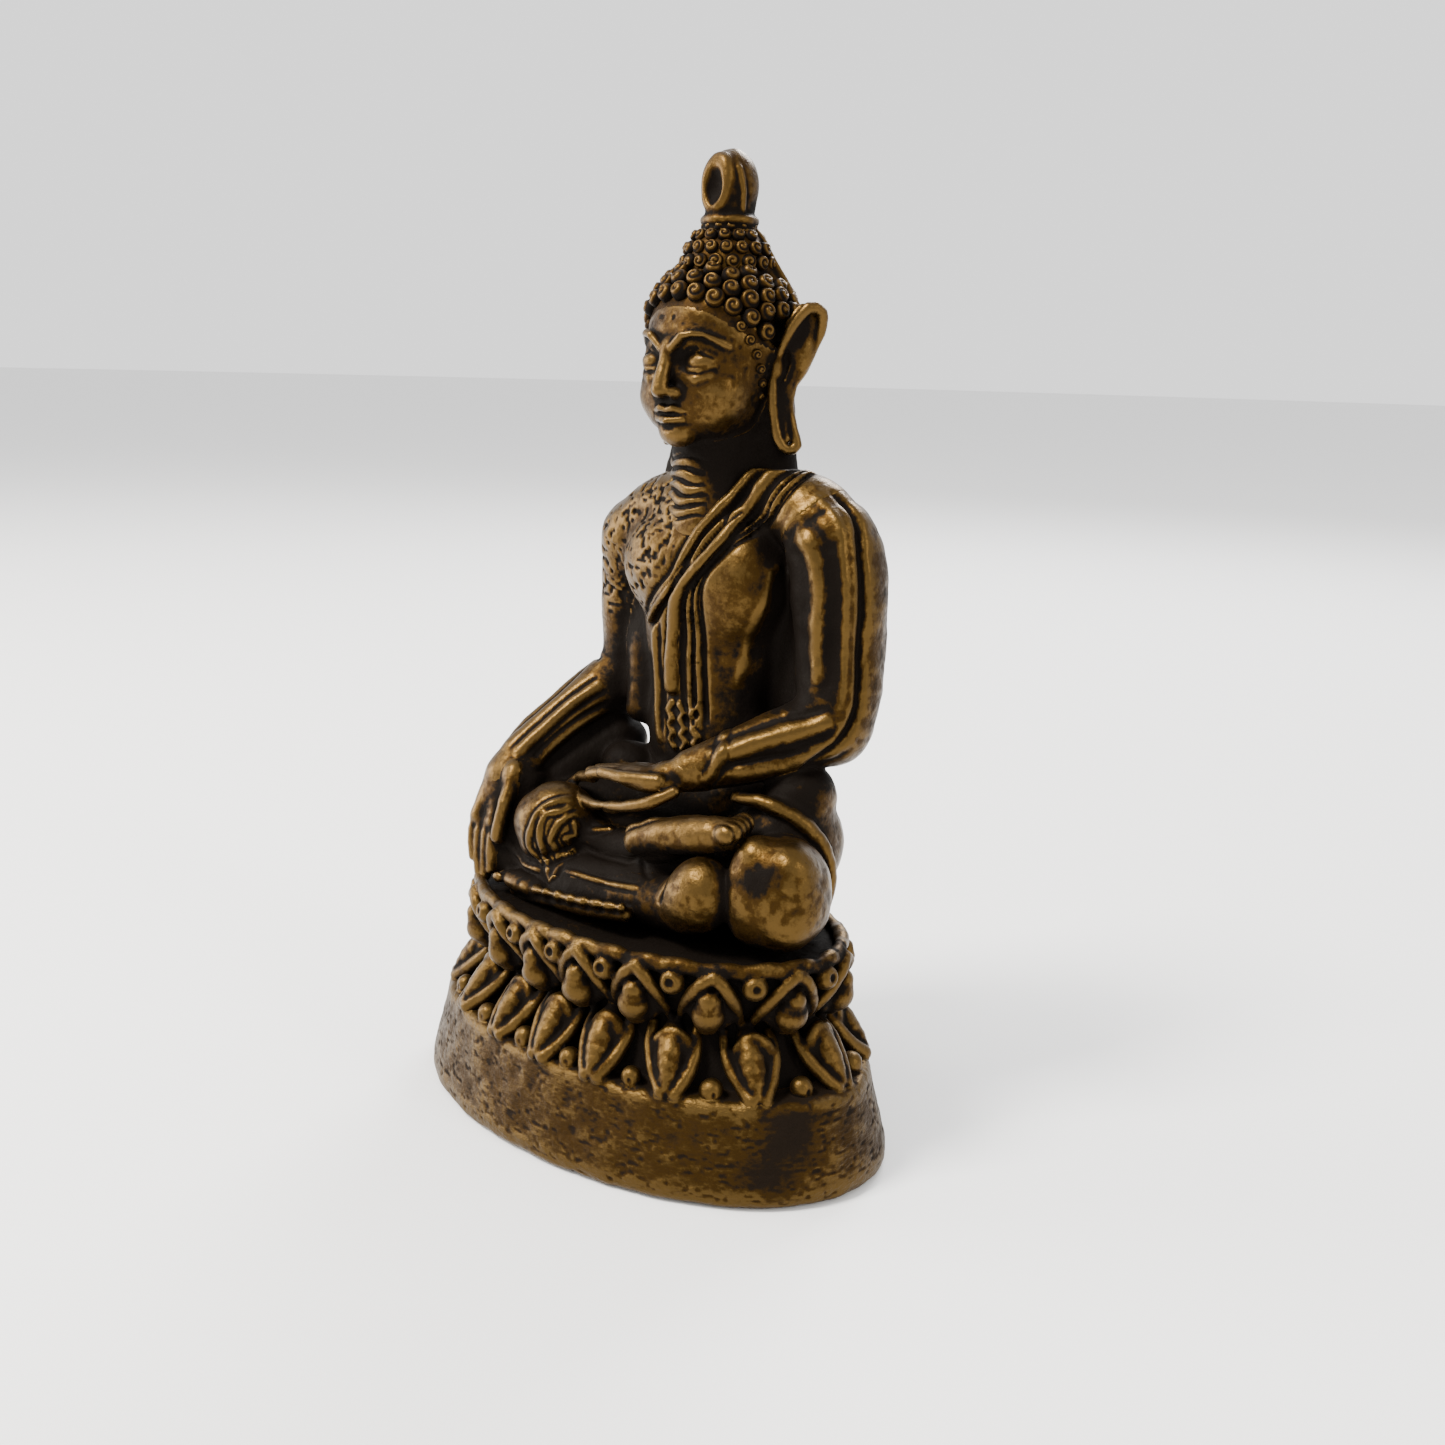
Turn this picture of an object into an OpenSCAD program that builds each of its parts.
// Seated Buddha on a double lotus pedestal, touching the earth with the right hand.
// Front is -Y, the figure's own left is +X, and the underside of the plinth is z = 0.

/* [Size] */
// Height from the underside of the plinth to the tip of the finial, mm
statue_h = 64; // [48:1:128]

/* [Pedestal] */
// Width of the plinth at its foot, percent of the height
plinth_w = 58.8; // [56:0.2:62]
// Depth of the plinth at its foot, percent of the height
plinth_d = 36.4; // [34:0.2:40]
// Height of the plain plinth, percent of the height
plinth_h = 9; // [8:0.5:9.5]
// Height of the deck that the figure sits on, percent of the height
deck_z = 21.8; // [21:0.2:22.4]
// Petals in each row, which is also the number of beads in each row
petals = 16; // [12:2:18]

/* [Figure] */
// Radius of the ball that the hair is modelled on, percent of the height
scalp_r = 8; // [7.8:0.1:8.2]
// Radius of one curl, percent of the height
curl_r = 0.95; // [0.7:0.05:1]
// Curls round the widest row
curls_round = 22; // [18:1:24]

/* [Joints] */
// Radius of the screw that holds the figure to the pedestal, mm
screw_r = 1.5; // [1:0.1:2]
// Radius of the spigots on the finial, the neck and the arms, percent of the height
spigot_r = 1.4; // [1.2:0.1:1.6]
// Clearance all round a spigot in its socket, mm
fit_gap = 0.05; // [0.02:0.01:0.1]

/* [Hidden] */

// One percent of the height, mm: every length and place below is in these steps
u = statue_h / 100;
brass = "darkgoldenrod";
oval_sides = 64;
ball_sides = 16;
far = 60;

// Pedestal levels: height, half width, half depth, and how far back the oval's centre is
foot_level = [0, plinth_w / 2, plinth_d / 2, 0];
plinth_edge = [1.2, plinth_w / 2 + 0.1, plinth_d / 2 + 0.1, 0];
plinth_top = [plinth_h, plinth_w / 2 - 1.9, plinth_d / 2 - 2, 0];
core_foot = [plinth_h, 24.6, 14.2, 0.2];
core_waist_low = [14.9, 20.8, 11.7, 0.5];
core_waist_high = [15.9, 20.8, 11.7, 0.5];
core_top = [deck_z - 1.2, 22.8, 13.2, 0.4];
deck_rim = core_top + (core_top - core_waist_high) * 1.2 / (core_top[0] - core_waist_high[0]);
lower_petal_w = 6.5;
upper_petal_w = 6;
petal_cells = [6, 5];
bead_r = 1.1;

// Places on the figure: [x, y, z]
neck_foot = [0, 9, 63.4];
neck_h = 7.4;
head_c = [0, 8.9, 79.8];
scalp_c = [0, 9.4, 81.4];
knot_z = 88.3;
knot_h = 5;
bud_z = 93.1;
r_shoulder = [-11.7, 10.3, 60.3];
r_elbow = [-13.9, 10.5, 45.2];
r_wrist = [-18.8, -2.8, 34];
r_fingers = [-19.3, -7.4, 23];
l_shoulder = [13.3, 10.3, 60.3];
l_elbow = [16.8, 10, 43.8];
l_wrist = [5, -0.4, 37.6];
l_fingers = [-5.5, -2.4, 36.2];
r_knee = [-13.4, -1.6, 28.8];
l_knee = [17.8, 0.4, 28.6];
r_ankle = [5.5, -1.5, 31.2];
l_ankle = [-6.5, -7.2, 24.4];

// ---- building blocks ----

module ball(p, r) translate(p * u) sphere(r * u, $fn = ball_sides);

module egg(p, r) translate(p * u) scale(r * u) sphere(1, $fn = 24);

// A rounded limb through the points, with a radius at each
module limb(points, radii)
    for (i = [0 : len(points) - 2])
        hull() {
            ball(points[i], radii[i]);
            ball(points[i + 1], radii[i + 1]);
        }

// A point on the oval of a level at the angle a
function on_oval(level, a, out = 0) =
    [(level[1] + out) * cos(a), level[3] + (level[2] + out) * sin(a), level[0]];

// Equal steps along the oval's edge, and not equal angles: 0 is at +X and 270 at the front
function spread_angle(step) = let (a = 270 + 360 * step / petals) a + 8.6 * sin(2 * a);

// A solid through oval levels, lowest first
module oval_loft(levels) {
    n = oval_sides;
    last = len(levels) - 1;
    rings = [for (l = levels, i = [0 : n - 1]) on_oval(l, 360 * i / n) * u];
    sides = [for (k = [0 : last - 1], i = [0 : n - 1])
        let (a = k * n + i, b = k * n + (i + 1) % n)
        each [[a, a + n, b], [b, a + n, b + n]]];
    floor_face = [[for (i = [0 : n - 1]) i]];
    top_face = [[for (i = [n - 1 : -1 : 0]) last * n + i]];
    polyhedron(rings, concat(floor_face, sides, top_face), convexity = 4);
}

// A straight pin from a to b, for spigots and, with a gap, their sockets
module pin(a, b, r, gap = 0) {
    d = (b - a) * u;
    long = norm(d);
    translate(a * u)
        rotate([0, acos(d[2] / long), atan2(d[1], d[0])])
            cylinder(h = long, r = r * u + gap, $fn = 32);
}

// Everything below the deck, for cutting what sits on it
module below_deck() translate([-far, -far, -far] * u) cube([2 * far, 2 * far, far + deck_z] * u);

// ---- pedestal ----

screw_head_h = 2.4;
screw_top = [0, 6, 30];
module screw_way(gap) {
    translate([0, screw_top[1] * u, -1])
        cylinder(h = screw_top[2] * u + 1, r = screw_r + gap, $fn = 32);
    translate([0, screw_top[1] * u, -1])
        cylinder(h = screw_head_h * u + 2, r = 2 * screw_r + gap, $fn = 32);
}

module plinth() color(brass) difference() {
    oval_loft([foot_level, plinth_edge, plinth_top]);
    screw_way(fit_gap);
}

module lotus_form() oval_loft([core_foot, core_waist_low, core_waist_high, core_top]);

module lotus_core() color(brass) difference() {
    lotus_form();
    screw_way(fit_gap);
}

module deck() color(brass) difference() {
    oval_loft([core_top, deck_rim]);
    screw_way(fit_gap);
}

// Half the petal's width at the height t, from 0 at the root to 1 at the tip
function petal_half(t) = 0.5 * (1 - pow(t, 3.5)) * (0.76 + 0.24 * sin(180 * t));

// How far the petal stands out at s across and t up: a dome, with a boss below the tip
function petal_swell(s, t) = 1.5 * (1 - s * s) * (0.4 + 0.6 * t) + 0.6 * exp(-9 * s * s - 30 * pow(t - 0.62, 2));

// A pointed petal whose flat back lies along the straight slope from root to tip
module petal(root, tip, side, width) {
    along = tip - root;
    long = norm(along);
    out = cross(side, along / long);
    n = petal_cells[0];
    m = petal_cells[1];
    front = [for (j = [0 : m - 1], i = [0 : n])
        let (s = 2 * i / n - 1, t = j / m)
        [width * petal_half(t) * s, long * t, petal_swell(s, t)]];
    ends = [[0, long, 0.7], [0, long, 0]];
    top = m * (n + 1);
    last = top - n - 1;
    faces = concat(
        [for (j = [0 : m - 2], i = [0 : n - 1])
            let (a = j * (n + 1) + i, b = a + n + 1)
            each [[a, b, b + 1], [a, b + 1, a + 1]]],
        [for (i = [0 : n - 1]) [last + i, top, last + i + 1]],
        [[top, last, top + 1], [top + 1, last + n, top]],
        [[for (i = [0 : n]) i]],
        [concat([0], [for (j = [0 : m - 1]) j * (n + 1) + n], [top + 1], [for (j = [m - 1 : -1 : 1]) j * (n + 1)])]);
    multmatrix([for (k = [0 : 2]) [side[k], along[k] / long, out[k], root[k] * u]])
        polyhedron([for (p = concat(front, ends)) p * u], faces, convexity = 4);
}

// The level direction along the oval's edge at the angle a
function edge_dir(level, a) = let (d = [-level[1] * sin(a), level[2] * cos(a), 0]) d / norm(d);

module lower_petals() color(brass) for (i = [0 : petals - 1]) {
    a = spread_angle(i);
    petal(on_oval(core_waist_low, a), on_oval(core_foot, a), -edge_dir(core_foot, a), lower_petal_w);
}

module lower_beads() color(brass)
    for (i = [0 : petals - 1])
        translate((on_oval(core_foot, spread_angle(i + 0.5), bead_r - 0.2) + [0, 0, bead_r]) * u)
            sphere(bead_r * u, $fn = 32);

module upper_petals() color(brass) for (i = [0 : petals - 1]) {
    a = spread_angle(i + 0.5);
    petal(on_oval(core_waist_high, a), on_oval(deck_rim, a), edge_dir(core_top, a), upper_petal_w);
}

module upper_beads() color(brass)
    for (i = [0 : petals - 1])
        translate((on_oval(deck_rim, spread_angle(i), bead_r) + [0, 0, -0.4]) * u)
            sphere(bead_r * u, $fn = 32);

module fixing_screw() color("silver") {
    translate([0, screw_top[1] * u, 0.8])
        cylinder(h = screw_top[2] * u - 1.2, r = screw_r - fit_gap, $fn = 32);
    difference() {
        translate([0, screw_top[1] * u, 0.8])
            cylinder(h = screw_head_h * u, r = 2 * screw_r - fit_gap, $fn = 32);
        translate([-0.3, screw_top[1] * u - 4, 0])
            cube([0.6, 8, 1.4]);
    }
}

// ---- body ----

module torso_form() {
    hull() {
        egg([0, 9.4, 57], [10.8, 6, 6.4]);
        egg([0, 9.8, 44.5], [7.8, 5.4, 5]);
    }
    hull() {
        egg([0, 9.8, 44.5], [7.8, 5.4, 5]);
        egg([0, 9.4, 36], [9.6, 5.8, 5]);
    }
    hull() {
        ball([-11.3, 10.2, 60], 3.9);
        ball([12.3, 10.2, 60], 4.3);
        egg([0, 9.2, 60.5], [5, 4.6, 4.6]);
    }
}

module seat_form() hull() {
    egg([0, 8.6, 26], [15.4, 6.6, 6]);
    egg([0, 8.8, 33], [10.4, 6, 4.6]);
}

module right_leg_form() limb([[-8.4, 6.4, 29.6], r_knee, [-4, -3.6, 29.2], r_ankle], [5.4, 5, 3.8, 2.8]);

module left_leg_form() limb([[8.6, 6.4, 28], l_knee, [8.4, -4.8, 26.4], l_ankle], [5.6, 5.4, 3.6, 2.4]);

// The spigots that fix the arms in the torso
arm_spigot = 5.4;
module r_arm_spigot(gap) pin(r_shoulder, r_shoulder + [arm_spigot, -0.4, -1], spigot_r, gap);
module l_arm_spigot(gap) pin(l_shoulder, l_shoulder + [-arm_spigot, -0.4, -1], spigot_r, gap);

module torso() color(brass) difference() {
    torso_form();
    neck_cut();
    seat_form();
    r_arm_ball();
    l_arm_ball();
    r_arm_spigot(fit_gap);
    l_arm_spigot(fit_gap);
}

// The balls of the shoulders, which the arms take out of the torso
module r_arm_ball() ball(r_shoulder - [1.2, 0, 0.6], 4.3);
module l_arm_ball() ball(l_shoulder + [1.2, 0, -0.6], 4.8);

module neck_cut() translate(neck_foot * u) {
    cylinder(h = neck_h * u, r = 4.5 * u, $fn = 48);
    translate([0, 0, -3.4 * u]) cylinder(h = 4 * u, r = spigot_r * u + fit_gap, $fn = 32);
}

module seat_robe() color(brass) difference() {
    seat_form();
    below_deck();
    right_leg_form();
    left_leg_form();
    translate([0, screw_top[1] * u, 0]) cylinder(h = screw_top[2] * u, r = screw_r, $fn = 32);
}

module right_leg() color(brass) difference() {
    right_leg_form();
    below_deck();
    torso_form();
}

module left_leg() color(brass) difference() {
    left_leg_form();
    below_deck();
    torso_form();
    right_leg_form();
}

module right_foot_form() hull() {
    ball(r_ankle + [1.6, 0, 0.2], 2.2);
    ball(r_ankle + [7.2, 0.4, 0.4], 1.9);
    ball(r_ankle + [7, -1.6, 0.2], 1.5);
}

module right_foot() color(brass) difference() {
    right_foot_form();
    right_leg_form();
    left_leg_form();
    torso_form();
    seat_form();
}

module left_foot() color(brass) difference() {
    hull() {
        ball(l_ankle + [-1.4, 0, -0.2], 2);
        ball(l_ankle + [-8, 0.8, -0.8], 1.6);
    }
    left_leg_form();
    right_leg_form();
    below_deck();
}

module robe_hem() color(brass) difference() {
    hull() for (x = [-7, 0, 7]) ball([x, -10.6 + x * x / 60, deck_z + 0.1], 0.9);
    hull() for (x = [-7, 7]) ball([x, -5, deck_z + 0.2], 0.7);
    left_leg_form();
    below_deck();
}

module robe_border_form() limb([[10.6, 7.6, 65.4], [6, 3.6, 61.4], [0.5, 2.6, 57], [-5.4, 3.4, 52.4], [-9, 6.6, 49]],
    [1, 0.95, 0.95, 0.9, 0.8]);

module robe_border() color(brass) difference() {
    robe_border_form();
    torso_form();
    l_arm_ball();
    neck_cut();
}

module sash_form() limb([[11.8, 8.2, 65], [8.6, 3.4, 60], [5.4, 2.2, 54], [3.8, 2.9, 46], [3.2, 3.6, 40.6]],
    [1.3, 1.5, 1.6, 1.6, 1.4]);

module shoulder_sash() color(brass) difference() {
    sash_form();
    torso_form();
    robe_border_form();
    l_arm_ball();
    seat_form();
    left_hand_form();
}

// ---- arms ----

module right_arm() color(brass) {
    difference() {
        limb([r_shoulder - [1.2, 0, 0.6], [-13.1, 11, 53], r_elbow, [-17, 3.6, 39.4], r_wrist],
            [4.3, 4, 3.5, 3.2, 2.7]);
        difference() {
            torso_form();
            r_arm_ball();
        }
        right_leg_form();
        seat_form();
    }
    r_arm_spigot(0);
}

module right_hand() color(brass) difference() {
    union() {
        hull() {
            ball(r_wrist, 2.5);
            ball(r_wrist + [-0.6, -2.2, -3.6], 2.2);
            ball(r_wrist + [1.4, -2.6, -3.4], 1.6);
        }
        for (k = [0 : 3])
            hull() {
                ball(r_wrist + [-1.2 + 0.9 * k, -2.6 - 0.3 * k, -4.4], 1);
                ball(r_fingers + [0.8 * k - 1.2, -0.2 * k, 0.5 * k], 0.7);
            }
        limb([r_wrist + [1.6, -1.6, -1.6], r_wrist + [3, -3.4, -5.4]], [1.1, 0.8]);
    }
    limb([[-17, 3.6, 39.4], r_wrist], [3.2, 2.7]);
    right_leg_form();
    below_deck();
}

module left_arm() color(brass) {
    difference() {
        limb([l_shoulder + [1.2, 0, -0.6], [15.2, 11, 53], l_elbow, [11, 4.2, 40.6], l_wrist],
            [4.8, 4.5, 4.2, 3.3, 2.5]);
        difference() {
            torso_form();
            l_arm_ball();
        }
        seat_form();
        left_leg_form();
        right_foot_form();
    }
    l_arm_spigot(0);
}

module left_hand_form() {
    hull() {
        ball(l_wrist, 2.1);
        ball(l_wrist + [-5, -1.6, -1], 1.5);
        ball(l_wrist + [-4.4, 1.2, -1], 1.4);
    }
    hull() {
        ball(l_wrist + [-5, -1.6, -1], 1.5);
        ball(l_fingers, 0.9);
        ball(l_fingers + [0.4, 2.2, 0.2], 0.8);
    }
    limb([l_wrist + [-2, -2, 0.2], l_wrist + [-5.4, -3.2, 0.8]], [1, 0.7]);
}

module left_hand() color(brass) difference() {
    left_hand_form();
    limb([[11, 4.2, 40.6], l_wrist], [3.3, 2.5]);
    torso_form();
    right_leg_form();
    right_foot_form();
    seat_form();
}

// ---- head ----

module neck() color(brass) translate(neck_foot * u) {
    rotate_extrude($fn = 48) union() {
        square([3.7 * u, neck_h * u]);
        for (k = [0 : 3]) translate([3.7 * u, (0.9 + 1.6 * k) * u]) circle(0.75 * u, $fn = 24);
    }
    translate([0, 0, -3.2 * u]) cylinder(h = 3.3 * u, r = spigot_r * u, $fn = 32);
    translate([0, 0, neck_h * u - 0.1]) cylinder(h = 2.2 * u, r = spigot_r * u, $fn = 32);
}

// The ball of the hair, less what lies in front of and below the hairline
hairline_tilt = 140;
hairline_lift = 0.7;
module hair_side(r) difference() {
    translate(scalp_c * u) sphere(r * u, $fn = 64);
    translate(scalp_c * u) rotate([hairline_tilt, 0, 0])
        translate([-far, -far, hairline_lift] * u) cube([2 * far, 2 * far, far] * u);
}

module face_form() {
    hull() {
        egg(head_c + [0, 0.2, 1.5], [7.3, 7.9, 7.4]);
        egg(head_c + [0, -1.2, -5.4], [5.2, 5.6, 4]);
    }
    hull() {
        ball(head_c + [0, -7.3, 1.6], 0.6);
        ball(head_c + [0, -8, -2.6], 0.9);
        ball(head_c + [0, -6.4, -2.9], 1.4);
    }
}

module head() color(brass) difference() {
    face_form();
    hair_side(scalp_r);
    translate(neck_foot * u) {
        cylinder(h = neck_h * u, r = 4.5 * u, $fn = 48);
        cylinder(h = (neck_h + 2.4) * u, r = spigot_r * u + fit_gap, $fn = 32);
    }
}

module hair_cap() color(brass) difference() {
    hair_side(scalp_r);
    translate([-far, -far, knot_z] * u) cube([2 * far, 2 * far, far] * u);
}

// One snail curl, flat below, that stands on a ball of radius r in the direction d
module curl(c, r, d) translate((c + d * r) * u)
    rotate([0, acos(d[2]), atan2(d[1], d[0])])
        rotate_extrude($fn = 32) intersection() {
            circle(curl_r * u, $fn = 32);
            square(2 * curl_r * u);
        }

// Rows of curls climb the ball; a curl is left out where it would fall on the face
row_step = 14;
first_row = -34;
function curls_in(row) = round(curls_round * cos(first_row + row_step * row));
function curl_dir(row, i) =
    let (lift = first_row + row_step * row, a = 90 + 360 * (i + 0.5 * (row % 2)) / curls_in(row))
    [cos(lift) * cos(a), cos(lift) * sin(a), sin(lift)];
// How far a direction points to the face side of the hairline
function faceward(d) = -sin(hairline_tilt) * d[1] + cos(hairline_tilt) * d[2];

module hair_curls() color(brass)
    for (row = [0 : 6], i = [0 : curls_in(row) - 1])
        if (faceward(curl_dir(row, i)) < -0.04)
            curl(scalp_c, scalp_r, curl_dir(row, i));

// An ear: a bowl at the top that draws out into a long lobe
module ear(side) color(brass) difference() {
    limb([[side * 9.7, 10.6, 83.6], [side * 8.4, 9.9, 80.4], [side * 7.9, 9.6, 75.6], [side * 8.5, 9.3, 71.6]],
        [1.7, 1.4, 1, 1.1]);
    face_form();
    hair_side(scalp_r + 0.15 + curl_r);
}

knot_c = [0, scalp_c[1] + 0.6, knot_z];
knot_r = 4.6;
module topknot() color(brass) translate(knot_c * u) difference() {
    sphere(knot_r * u, $fn = 64);
    translate([-far, -far, -2 * far] * u) cube([2 * far, 2 * far, 2 * far] * u);
    translate([0, 0, 2 * u]) cylinder(h = far * u, r = spigot_r * u + fit_gap, $fn = 32);
    translate([0, 0, (knot_h - 0.9) * u]) cylinder(h = far * u, r = knot_r * u, $fn = 32);
}

module topknot_curls() color(brass)
    for (row = [0 : 2], i = [0 : 12 - 3 * row])
        let (lift = 13 + 20 * row, a = 90 + 360 * (i + 0.5 * row) / (13 - 3 * row))
            curl(knot_c, knot_r, [cos(lift) * cos(a), cos(lift) * sin(a), sin(lift)]);

// The bud: a plump oval with a short spigot under it
module finial() color(brass) translate((knot_c + [0, 0, knot_h - 0.9]) * u) {
    h = 100 - (knot_z + knot_h - 0.9);
    rotate_extrude($fn = 48) polygon([for (p = bud_outline(h)) p * u]);
    translate([0, 0, -2 * u]) cylinder(h = 2.1 * u, r = spigot_r * u, $fn = 32);
}

// Half the bud's outline: a collar, a waist, and a belly that closes at the tip
function bud_outline(h) = concat([[0, 0], [2.3, 0], [2.3, 0.6], [1.8, 1]],
    [for (k = [1 : 12])
        let (t = k / 12)
        [2.7 * pow(sin(38 + 142 * t), 0.7), 1 + (h - 1) * (1 - cos(180 * t)) / 2]]);

plinth();
lotus_core();
lower_petals();
lower_beads();
upper_petals();
upper_beads();
deck();
fixing_screw();
seat_robe();
right_leg();
left_leg();
right_foot();
left_foot();
robe_hem();
torso();
robe_border();
shoulder_sash();
right_arm();
right_hand();
left_arm();
left_hand();
neck();
head();
ear(-1);  // right_ear
ear(1);  // left_ear
hair_cap();
hair_curls();
topknot();
topknot_curls();
finial();
